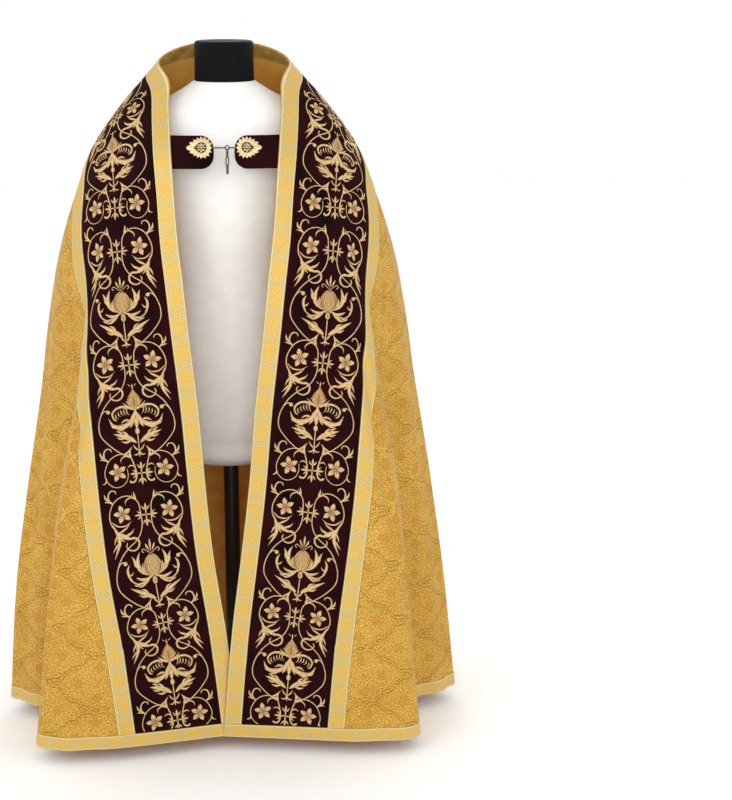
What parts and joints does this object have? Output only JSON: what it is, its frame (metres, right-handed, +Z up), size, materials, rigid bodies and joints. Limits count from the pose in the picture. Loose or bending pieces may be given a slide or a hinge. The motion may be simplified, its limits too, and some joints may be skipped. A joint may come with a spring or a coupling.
{
  "type": "cope vestment on a dress form",
  "caption": "Gold brocade cope with embroidered velvet orphreys, a fringed hood and a hook clasp, hanging open on a limbless dress form with a pole and round base.",
  "frame": {"origin": "the floor, under the middle of the whole width and depth", "axes": "+Z up; -Y out of the front, where the fronts meet; +X to the right of someone who looks at the front"},
  "size_m": [0.9746, 0.5708, 1.44],
  "materials": {
    "brocade": "gold jacquard brocade with an ogee lattice",
    "velvet": "dark wine cut velvet, embroidered in gold thread",
    "galloon": "woven metal-thread galloon with a diamond weave",
    "facing": "woven gold facing tape",
    "lining": "orange-gold satin",
    "fringe": "twisted silvery gold thread",
    "leaf": "pale gold cast filigree",
    "wire": "nickel-plated wire",
    "jersey": "off-white jersey cover",
    "neck": "black cloth neck cover",
    "stand": "black satin paint"
  },
  "bodies": {
    "cope": {"brocade_back": "brocade", "brocade_front_left": "brocade", "brocade_front_right": "brocade", "orphrey_velvet_left": "velvet", "orphrey_velvet_right": "velvet", "galloon_inner_left": "galloon", "galloon_inner_right": "galloon", "galloon_outer_left": "galloon", "galloon_outer_right": "galloon", "galloon_centre_back": "galloon", "hem_galloon_back": "galloon", "hem_galloon_left": "galloon", "hem_galloon_right": "galloon", "collar_facing": "facing", "collar_lining": "lining", "hood_velvet": "velvet", "hood_galloon": "galloon", "hood_fringe": "fringe", "clasp_strap_left": "velvet", "clasp_strap_right": "velvet", "clasp_leaf_left": "leaf", "clasp_leaf_right": "leaf", "clasp_ring": "wire", "clasp_link_left": "wire", "clasp_hook": "wire", "form_torso": "jersey", "form_neck": "neck", "form_pole": "stand", "form_base": "stand"},
    "chain": {"chain_link_1": "wire", "chain_link_2": "wire", "chain_link_3": "wire"}
  },
  "joints": [
    {"name": "chain_swing", "type": "hinge", "parent": "cope", "child": "chain", "pos_m": [0.00305, -0.1502, 1.2363], "axis": [1, 0, 0], "range_deg": [-60, 30]}
  ]
}
